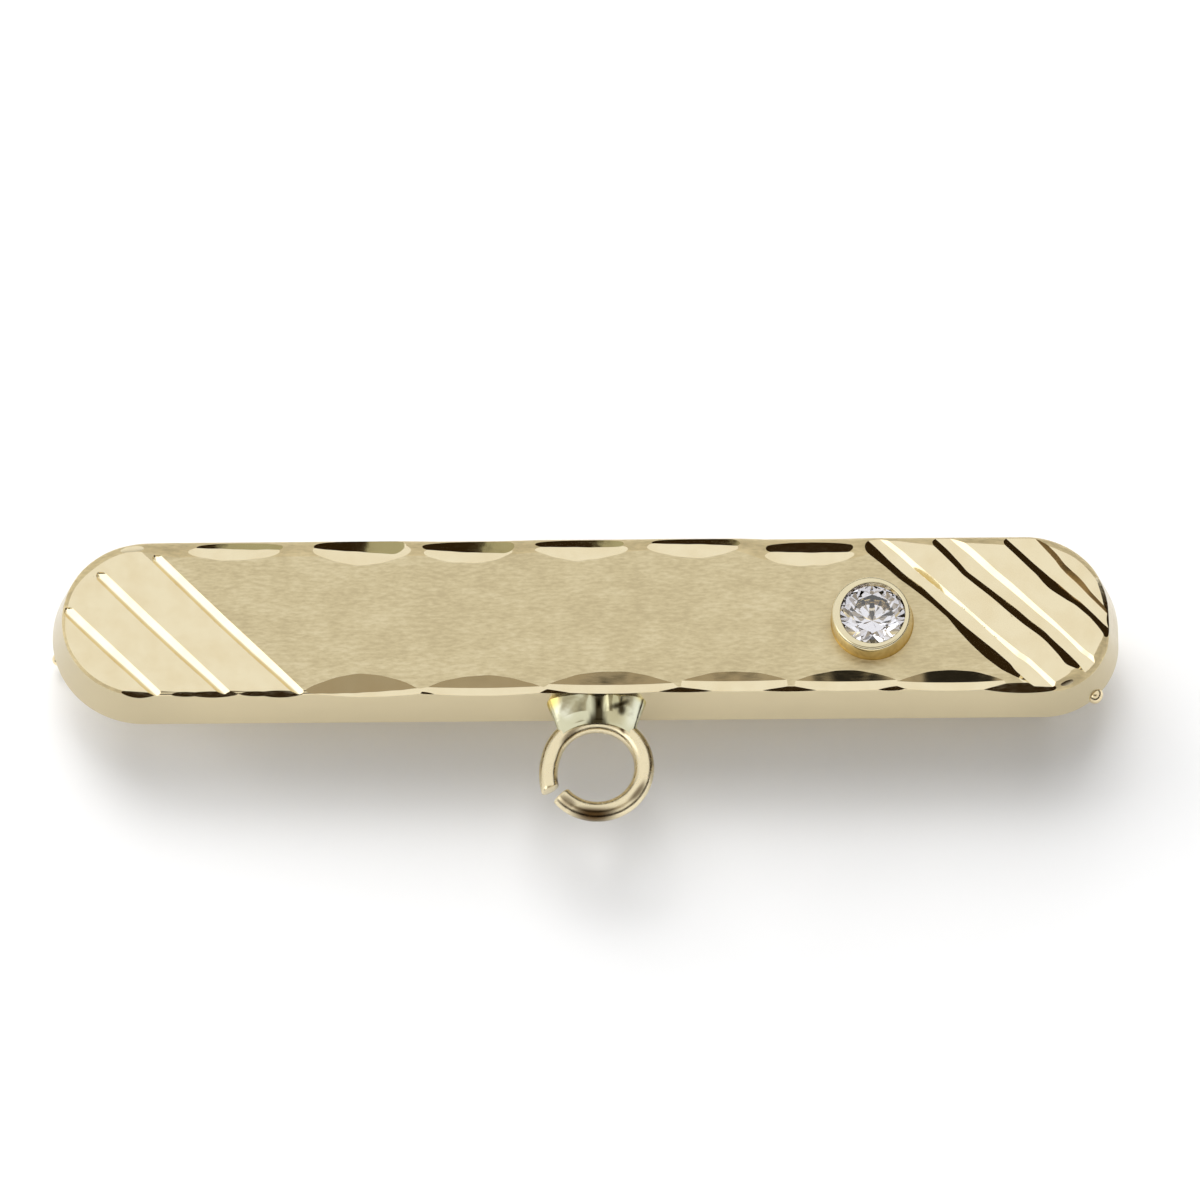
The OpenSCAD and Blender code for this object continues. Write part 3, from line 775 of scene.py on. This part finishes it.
def build_ring():
    """Open wire ring whose ends miss each other a little and have rounded edges."""
    first = RING_GAP_MID + RING_GAP / 2
    span = 2 * math.pi - RING_GAP
    n = 180
    trim = 0.03 / RING_R / span
    edge = np.array([0, trim * 0.25, trim])
    shrink = np.array([0.86, 0.955, 1.0])
    shares = np.concatenate([edge, np.linspace(0, 1, n)[2:-2], 1 - edge[::-1]])
    radii = np.concatenate([shrink, np.ones(n - 4), shrink[::-1]]) * WIRE_R
    centre, across, up, radius = [], [], [], []
    for s, r in zip(shares, radii):
        a = first + span * s
        # the end by the wall springs out and is a little thinner
        out = 0.16 * max(0.0, (s - 0.88) / 0.12) ** 1.5 + 0.02 * math.sin(math.pi * min(1.0, s / 0.4))
        r *= 1.0 - 0.06 * max(0.0, s - 0.6) / 0.4
        reach = RING_R + out
        d = np.array([math.cos(a), math.sin(a), 0.0])
        centre.append(np.array([RING_X, RING_Y, RING_Z]) + reach * d)
        across.append(d)
        up.append(np.array([0, 0, 1.0]))
        radius.append(r)
    obj = finish_mesh(sweep("jump_ring", centre, across, up, radius), 35)

    def tone(x, y, z):
        angle = np.degrees(np.arctan2(y - RING_Y, x - RING_X)) % 360
        reach = np.hypot(x - RING_X, y - RING_Y)
        # painted reflection: brown arcs where the polished wire mirrors dark surroundings
        painted_reflection = np.zeros(len(x))
        for at, half_angle, r, half_r, share in RING_PAINTED_REFLECTIONS:
            painted_reflection = np.maximum(painted_reflection, share * oval(angle, reach, at, r, half_angle, half_r))
        # painted shade: a dark spot where the ring meets the solder
        painted_shade_spot = oval(x, y, RING_X + 0.75, RING_Y + 1.1, 0.17, 0.06, -62)
        return mixed((0.87, 0.76, 0.51), (0.09, 0.05, 0.018), np.maximum(painted_reflection, painted_shade_spot))

    set_tone(obj, tone)
    return obj


def build_solder():
    """Waisted fillet of solder between the front wall and the ring, hollowed in the middle."""
    n, m = 56, 96
    verts, faces = [], []
    for i in range(n):
        s = i / (n - 1)
        bell = (1 - s) ** 1.7
        half = 1.14 + 0.46 * bell
        low = 0.12 + 0.50 * min(1, s / 0.6) ** 0.8
        high = 1.36 - 0.22 * min(1, s / 0.62) ** 0.8
        mid, tall = (low + high) / 2, (high - low) / 2
        for k in range(m):
            a = 2 * math.pi * k / m
            c, sn = math.cos(a), math.sin(a)
            px = half * math.copysign(abs(c) ** 0.75, c)
            pz = tall * math.copysign(abs(sn) ** 0.75, sn)
            end = RING_Y + math.sqrt(max((RING_R - 0.14 * (1 - (px / 1.1) ** 2)) ** 2 - px * px, 0.25))
            y = SOLDER_ROOT_Y + (end - SOLDER_ROOT_Y) * s
            upper = max(sn, 0) ** 0.5
            dent = 0.15 * math.exp(-((px - 0.08) / 0.2) ** 2) + 0.08 * math.exp(-((px - 0.72) / 0.16) ** 2)
            lump = 0.06 * math.exp(-((px + 0.5) / 0.28) ** 2) + 0.05 * math.exp(-((px - 0.4) / 0.14) ** 2)
            wave = math.sin(math.pi * min(1, s * 1.1)) ** 0.7
            verts.append((RING_X + px, y, mid + pz + (lump - dent) * wave * upper))
    for i in range(n - 1):
        for k in range(m):
            p = (k + 1) % m
            faces.append((i * m + k, i * m + p, (i + 1) * m + p, (i + 1) * m + k))
    faces.append(tuple(range(m)))
    last = (n - 1) * m
    faces += [(last, last + 1, last + m - 1), (last + m // 2 - 1, last + m // 2, last + m // 2 + 1)]
    for k in range(1, m // 2 - 1):
        faces.append((last + k, last + k + 1, last + m - 1 - k, last + m - k))
    obj = finish_mesh(make_object("solder", verts, faces), 60)

    def tone(x, y, z):
        x = x - RING_X
        low = np.clip((-2.44 - y) / 1.0, 0, 1.1)
        # painted highlights: pale patches on both lobes; beige and yellow patches elsewhere
        colour = mixed((0.71, 0.69, 0.48), (0.87, 0.86, 0.67), oval(x, y, -0.95, -2.9, 0.2, 0.3, 35))
        colour = mixed(colour, (0.57, 0.52, 0.32), oval(x, y, 0.5, -3.05, 0.34, 0.4))
        colour = mixed(colour, (0.56, 0.52, 0.31), oval(x, y, 0.5, -2.55, 0.3, 0.22))
        colour = mixed(colour, (0.86, 0.86, 0.67), oval(x, y, 1.15, -2.95, 0.2, 0.5, -20))
        colour = mixed(colour, (0.80, 0.62, 0.20), oval(x, y, -1.4, -2.55, 0.32, 0.28))
        colour = mixed(colour, (0.82, 0.70, 0.28), oval(x, y, 1.5, -2.45, 0.3, 0.2))
        # painted shade: a dark stem in the hollow between the lobes, widening towards the ring, and dark
        # marks in the smaller hollow to its right
        stem = np.abs(x - 0.1 + 0.1 * low) / (0.15 + 0.06 * low + 0.2 * low ** 4)
        dark = np.exp(-stem ** 6)
        dark = np.maximum(dark, oval(x, y, 0.685, -2.745, 0.32, 0.09, 22))
        dark = np.maximum(dark, oval(x, y, 0.75, -2.88, 0.13, 0.17))
        return mixed(colour, (0.045, 0.034, 0.014), dark)

    set_tone(obj, tone)
    return obj


def build_bead():
    """Bead of metal at the right end, a little out of round."""
    bm = bmesh.new()
    bmesh.ops.create_icosphere(bm, subdivisions=4, radius=BEAD_R * MM)
    for v in bm.verts:
        v.co.x *= 1.0 + 0.06 * math.sin(v.co.y * 9000)
        v.co += Vector(BEAD) * MM
    for f in bm.faces:
        f.smooth = True
    return add_bmesh("bead", bm)


# Materials

def material(name):
    """A new material with one Principled shader."""
    mat = bpy.data.materials.new(name)
    mat.use_nodes = True
    nodes, links = mat.node_tree.nodes, mat.node_tree.links
    nodes.clear()
    out = nodes.new("ShaderNodeOutputMaterial")
    bsdf = nodes.new("ShaderNodeBsdfPrincipled")
    links.new(bsdf.outputs[0], out.inputs[0])
    return mat, nodes, links, bsdf


def mapped(nodes, links, scale):
    """Object coordinates in millimetres, stretched by scale."""
    coord = nodes.new("ShaderNodeTexCoord")
    mapping = nodes.new("ShaderNodeMapping")
    mapping.inputs["Scale"].default_value = [s / MM for s in scale]
    links.new(coord.outputs["Object"], mapping.inputs["Vector"])
    return mapping.outputs[0]


def noise(nodes, links, vector, scale, detail=2.0, rough=0.5):
    """Strength of a noise texture."""
    n = nodes.new("ShaderNodeTexNoise")
    n.inputs["Scale"].default_value = scale
    n.inputs["Detail"].default_value = detail
    n.inputs["Roughness"].default_value = rough
    links.new(vector, n.inputs["Vector"])
    return n.outputs["Fac"]


def ramp(nodes, links, fac, stops):
    """Colour ramp from a list of places and colours."""
    r = nodes.new("ShaderNodeValToRGB")
    while len(r.color_ramp.elements) < len(stops):
        r.color_ramp.elements.new(0.5)
    for el, (at, colour) in zip(r.color_ramp.elements, stops):
        el.position = at
        el.color = (*colour, 1)
    links.new(fac, r.inputs["Fac"])
    return r.outputs["Color"]


def to_range(nodes, links, fac, low, high):
    """Spreads the middle of a noise over low to high."""
    m = nodes.new("ShaderNodeMapRange")
    m.inputs["From Min"].default_value = 0.3
    m.inputs["From Max"].default_value = 0.7
    m.inputs["To Min"].default_value = low
    m.inputs["To Max"].default_value = high
    links.new(fac, m.inputs["Value"])
    return m.outputs[0]


def bump(nodes, links, height, distance, strength=1.0, after=None):
    """Normal of a bump, its depth in millimetres."""
    b = nodes.new("ShaderNodeBump")
    b.inputs["Distance"].default_value = distance * MM
    b.inputs["Strength"].default_value = strength
    links.new(height, b.inputs["Height"])
    if after is not None:
        links.new(after, b.inputs["Normal"])
    return b.outputs[0]


def polished(name, colour, deep, rough=(0.05, 0.11), wave=0.0016):
    """Polished gold with faint hand polish: soft waves, a little haze and a change of colour."""
    mat, nodes, links, bsdf = material(name)
    bsdf.inputs["Metallic"].default_value = 1.0
    soft = mapped(nodes, links, (1, 1, 1))
    cloud = noise(nodes, links, soft, 1.3, 3.0)
    links.new(ramp(nodes, links, cloud, [(0.3, deep), (0.62, colour)]), bsdf.inputs["Base Color"])
    fine = mapped(nodes, links, (1.2, 5.0, 3.0))
    hair = noise(nodes, links, fine, 3.0, 4.0, 0.6)
    links.new(to_range(nodes, links, hair, *rough), bsdf.inputs["Roughness"])
    waves = noise(nodes, links, soft, 1.6, 1.0)
    first = bump(nodes, links, waves, wave * 4)
    links.new(bump(nodes, links, hair, 0.0006, 0.6, first), bsdf.inputs["Normal"])
    return mat


def toned(name, rough, wave):
    """Polished metal that takes its colour from the piece's tone, which holds painted shade, reflections
    and highlights besides its colour, with soft waves and a little haze.
    """
    mat, nodes, links, bsdf = material(name)
    bsdf.inputs["Metallic"].default_value = 1.0
    tone = nodes.new("ShaderNodeAttribute")
    tone.attribute_name = "tone"
    links.new(tone.outputs["Color"], bsdf.inputs["Base Color"])
    soft = mapped(nodes, links, (1, 1, 1))
    haze = noise(nodes, links, soft, 4.0, 3.0)
    links.new(to_range(nodes, links, haze, *rough), bsdf.inputs["Roughness"])
    links.new(bump(nodes, links, noise(nodes, links, soft, 1.9, 2.0), wave), bsdf.inputs["Normal"])
    return mat


def satin_gold(name, dark, middle, light, rough=(0.33, 0.45)):
    """Satin gold: short patches that run along the bar, under a fine grain."""
    mat, nodes, links, bsdf = material(name)
    bsdf.inputs["Metallic"].default_value = 1.0
    patch = noise(nodes, links, mapped(nodes, links, (3.4, 11.0, 6.0)), 1.0, 4.0, 0.6)
    broad = noise(nodes, links, mapped(nodes, links, (0.9, 1.8, 1.0)), 1.0, 3.0, 0.55)
    grain = noise(nodes, links, mapped(nodes, links, (12.0, 26.0, 16.0)), 1.0, 2.0, 0.6)
    mix = nodes.new("ShaderNodeMath")
    mix.operation = "MULTIPLY_ADD"
    mix.inputs[1].default_value = 0.55
    links.new(broad, mix.inputs[0])
    links.new(patch, mix.inputs[2])
    tone = ramp(nodes, links, mix.outputs[0], [(0.60, dark), (0.78, middle), (0.98, light)])
    links.new(tone, bsdf.inputs["Base Color"])
    links.new(to_range(nodes, links, patch, *rough), bsdf.inputs["Roughness"])
    first = bump(nodes, links, patch, 0.0028, 0.7)
    links.new(bump(nodes, links, grain, 0.002, 0.6, first), bsdf.inputs["Normal"])
    return mat


def clear_stone(name):
    """Clear faceted stone with a faint violet tint."""
    mat, nodes, links, bsdf = material(name)
    bsdf.inputs["Base Color"].default_value = (0.95, 0.94, 0.99, 1)
    bsdf.inputs["Roughness"].default_value = 0.0
    bsdf.inputs["IOR"].default_value = 2.16
    bsdf.inputs["Transmission Weight"].default_value = 1.0
    return mat


gold = polished("gold_polished", (0.88, 0.775, 0.53), (0.84, 0.72, 0.47))
satin = satin_gold("gold_satin", (0.60, 0.50, 0.30), (0.69, 0.585, 0.355), (0.79, 0.685, 0.445))
wall_gold = toned("gold_wall", (0.16, 0.24), 0.008)
edge_gold = polished("gold_edge", (0.80, 0.69, 0.45), (0.72, 0.60, 0.37), (0.17, 0.26), 0.002)
soft_satin = satin_gold(
    "gold_soft_satin", (0.68, 0.57, 0.34), (0.78, 0.66, 0.40), (0.87, 0.75, 0.48), (0.6, 0.7))
# painted dark reflection for the cusps and one groove side
painted_dark_gold = polished("gold_painted_dark", (0.38, 0.24, 0.09), (0.32, 0.20, 0.07), (0.16, 0.22))
bezel_gold = toned("gold_bezel", (0.10, 0.18), 0.008)
ring_gold = toned("gold_ring", (0.2, 0.3), 0.014)
solder_gold = toned("gold_solder", (0.16, 0.26), 0.02)
finding_gold = polished("gold_findings", (0.87, 0.74, 0.48), (0.80, 0.66, 0.42), (0.14, 0.24), 0.002)


def dress(obj, slot, mats, *nodes_replaced):
    """Materials and place in the part: a piece replaces CAD nodes, or is one of them. The slot is not used.
    """
    obj.data.materials.clear()
    for m in mats:
        obj.data.materials.append(m)
    if nodes_replaced:
        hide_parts(*nodes_replaced)
    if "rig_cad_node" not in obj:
        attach(obj, "root")


def wall_painted_shade(x, y, z):
    """Painted shade: the wall's gold is darker than the face's, to darken its reflection of the floor, and
    darker still towards both ends.
    """
    shade = 0.035 * eased(-x, 0, 3) + 0.165 * eased(-x, 10.5, 14.5) + 0.15 * eased(x, 12, 15)
    return np.outer(1 - shade, (0.69, 0.59, 0.38))


bar, finish_and_painted_dark = build_bar()
# the wall's colour carries painted shade, darker towards both ends
set_tone(bar, wall_painted_shade)
dress(bar, "gold", [gold, satin, wall_gold, edge_gold, painted_dark_gold, soft_satin], "bar")
bar.data.polygons.foreach_set("material_index", finish_and_painted_dark)
dress(build_bezel(), "gold", [bezel_gold], "bar")
dress(build_ring(), "gold", [ring_gold], "bar")
dress(build_solder(), "gold", [solder_gold], "bar")
dress(build_bead(), "gold", [finding_gold], "bar")

dress(frame["nodes"]["stone"], "clear_stone", [clear_stone("stone_clear")])
dress(frame["nodes"]["pin_clasp"], "gold", [finding_gold])


# Floor, light and camera

def build_floor():
    """The white surface that the brooch lies on."""
    bm = bmesh.new()
    bmesh.ops.create_grid(bm, x_segments=8, y_segments=8, size=1.5)
    obj = add_bmesh("floor", bm)
    obj.location.z = FLOOR_Z * MM
    mat, _, _, bsdf = material("pale_floor")
    bsdf.inputs["Base Color"].default_value = (0.93, 0.93, 0.93, 1)
    bsdf.inputs["Roughness"].default_value = 0.9
    bsdf.inputs["Specular IOR Level"].default_value = 0.0
    obj.data.materials.append(mat)
    return obj


def pointing(azimuth, elevation):
    """Unit vector towards an azimuth, from +Y to +X, and an elevation, both in degrees."""
    a, e = rad(azimuth), rad(elevation)
    return Vector((math.sin(a) * math.cos(e), math.cos(a) * math.cos(e), math.sin(e)))


def studio():
    """A light tent, open and dark at the horizon and round the camera, brightest at the left."""
    world = bpy.data.worlds.new("studio")
    bpy.context.scene.world = world
    world.use_nodes = True
    nodes, links = world.node_tree.nodes, world.node_tree.links
    nodes.clear()
    out = nodes.new("ShaderNodeOutputWorld")
    direction = nodes.new("ShaderNodeTexCoord").outputs["Generated"]
    split = nodes.new("ShaderNodeSeparateXYZ")
    links.new(direction, split.inputs[0])

    def math_node(op, a, b):
        """Result of an operation on two numbers or outputs."""
        n = nodes.new("ShaderNodeMath")
        n.operation = op
        for i, v in enumerate((a, b)):
            if isinstance(v, (int, float)):
                n.inputs[i].default_value = v
            else:
                links.new(v, n.inputs[i])
        return n.outputs[0]

    def steps(value, start, end, top=1.0):
        """0 up to start, top from end on, smooth between."""
        m = nodes.new("ShaderNodeMapRange")
        m.interpolation_type = "SMOOTHSTEP"
        m.inputs["From Min"].default_value = start
        m.inputs["From Max"].default_value = end
        m.inputs["To Max"].default_value = top
        links.new(value, m.inputs["Value"])
        return m.outputs[0]

    def along(vector):
        """Cosine of the angle between a direction and the vector."""
        dot = nodes.new("ShaderNodeVectorMath")
        dot.operation = "DOT_PRODUCT"
        dot.inputs[1].default_value = vector
        links.new(direction, dot.inputs[0])
        return dot.outputs["Value"]

    def toward(azimuth, elevation, start, end):
        """1 within start degrees of that direction, 0 beyond end degrees."""
        return steps(along(pointing(azimuth, elevation)), math.cos(rad(end)), math.cos(rad(start)))

    def above(elevation):
        """Sine of how far a direction stands above that elevation, measured at the front."""
        return along((0.0, math.sin(rad(elevation)), math.cos(rad(elevation))))

    def within(value, start, end):
        """1 where value lies within start of 0, 0 beyond end."""
        return steps(math_node("MULTIPLY", math_node("ABSOLUTE", value, 0), -1), -end, -start)

    def blend(factor, a, b):
        """Colour a, or b where factor is 1."""
        n = nodes.new("ShaderNodeMix")
        n.data_type = "RGBA"
        links.new(factor, n.inputs[0])
        links.new(a, n.inputs[6])
        n.inputs[7].default_value = (*b, 1)
        return n.outputs[2]

    # the tent's light, with the brighter patches at the left
    level = steps(split.outputs["Z"], math.sin(rad(20)), math.sin(rad(30)), 0.95)
    level = math_node("MAXIMUM", level, math_node("MULTIPLY", toward(-76, 8, 20, 42), 0.85))
    level = math_node("ADD", level, math_node("MULTIPLY", toward(-112, 38, 14, 26), 0.85))
    warm = nodes.new("ShaderNodeMix")
    warm.data_type = "RGBA"
    warm.inputs[6].default_value = (0.027, 0.015, 0.005, 1)
    warm.inputs[7].default_value = (1, 1, 1, 1)
    links.new(level, warm.inputs[0])
    bright = nodes.new("ShaderNodeVectorMath")
    bright.operation = "SCALE"
    links.new(warm.outputs[2], bright.inputs[0])
    links.new(math_node("MAXIMUM", level, 1.0), bright.inputs["Scale"])

    # camera and photographer: a dark oval middle in a broad drab patch
    drab = math_node("MULTIPLY", within(above(71), math.sin(rad(12)), math.sin(rad(16))),
                     within(split.outputs["X"], math.sin(rad(24)), math.sin(rad(34))))
    colour = blend(drab, bright.outputs[0], (0.41, 0.36, 0.28))
    tall = math_node("POWER", math_node("MULTIPLY", above(68), 1 / math.sin(rad(8.75))), 2)
    wide = math_node("POWER", math_node("MULTIPLY", split.outputs["X"], 1 / math.sin(rad(13))), 2)
    colour = blend(within(math_node("ADD", tall, wide), 0.64, 1.44), colour, (0.02, 0.018, 0.015))
    env = nodes.new("ShaderNodeBackground")
    links.new(colour, env.inputs["Color"])
    path = nodes.new("ShaderNodeLightPath")

    def plain(strength, ray, other):
        """An even world for one kind of ray."""
        even = nodes.new("ShaderNodeBackground")
        even.inputs["Color"].default_value = (strength, strength, strength, 1)
        mix = nodes.new("ShaderNodeMixShader")
        links.new(path.outputs[ray], mix.inputs[0])
        links.new(other, mix.inputs[1])
        links.new(even.outputs[0], mix.inputs[2])
        return mix.outputs[0]

    links.new(plain(0.97, "Is Camera Ray", plain(0.36, "Is Diffuse Ray", env.outputs[0])), out.inputs[0])


def drab_card():
    """A low card behind the bar, off to the left, that shows only in the metal and the stone."""
    bm = bmesh.new()
    left, right, y, low, high = -0.55, -0.013, 0.455, FLOOR_Z * MM, 0.109
    corners = [(left, y, low), (right, y, low), (right, y, high), (left, y, high)]
    bm.faces.new([bm.verts.new(c) for c in corners])
    card = add_bmesh("drab_card", bm)
    mat, _, _, bsdf = material("drab_card")
    bsdf.inputs["Base Color"].default_value = (0, 0, 0, 1)
    bsdf.inputs["Specular IOR Level"].default_value = 0.0
    bsdf.inputs["Emission Color"].default_value = (0.43, 0.42, 0.29, 1)
    bsdf.inputs["Emission Strength"].default_value = 1.0
    card.data.materials.append(mat)
    card.visible_camera = False
    card.visible_diffuse = False
    card.visible_shadow = False


def floor_lights(floor):
    """Soft lights that reach the floor alone: high at the back, low at the back, left and front."""
    lit = bpy.data.collections.new("lit_floor")
    lit.objects.link(floor)
    for name, azimuth, elevation, width, strength in [
        ("back_left", -30, 40, 30, 0.91), ("back_high", 0, 59, 34, 0.93), ("back", 0, 45, 30, 0.44),
        ("back_low", 0, 12, 26, 0.89), ("front_low", 180, 12, 26, 0.64), ("left_back", -50, 12, 26, 0.97),
        ("left_low", -72, 12, 26, 1.25), ("left_front", -100, 12, 26, 0.3),
    ]:
        data = bpy.data.lights.new(name, "SUN")
        data.energy = strength
        data.angle = rad(width)
        light = add_object(name, data)
        light.rotation_mode = "QUATERNION"
        light.rotation_quaternion = pointing(azimuth, elevation).to_track_quat("Z", "Y")
        light.light_linking.receiver_collection = lit


def photo_camera():
    """A long lens at the photo's angle above the floor, turned by the photo's slight roll."""
    elevation, roll = rad(68), rad(0.45)
    distance = 300.0
    target = Vector((0.45, 0.788, 0.75))
    data = bpy.data.cameras.new("camera")
    data.lens = 300.0
    data.sensor_width = 36.0
    data.clip_start = 0.001
    data.clip_end = 10.0
    camera = add_object("camera", data)
    back = Vector((0, -math.cos(elevation), math.sin(elevation)))
    turn = (-back).to_track_quat("-Z", "Y").to_matrix().to_4x4()
    place = Matrix.Translation((target + back * distance) * MM)
    camera.matrix_world = place @ turn @ Matrix.Rotation(-roll, 4, "Z")
    bpy.context.scene.camera = camera


floor = build_floor()
studio()
drab_card()
floor_lights(floor)
photo_camera()

view = bpy.context.scene.view_settings
view.view_transform = "Standard"
view.look = "None"
view.exposure = 0.0
view.gamma = 1.0
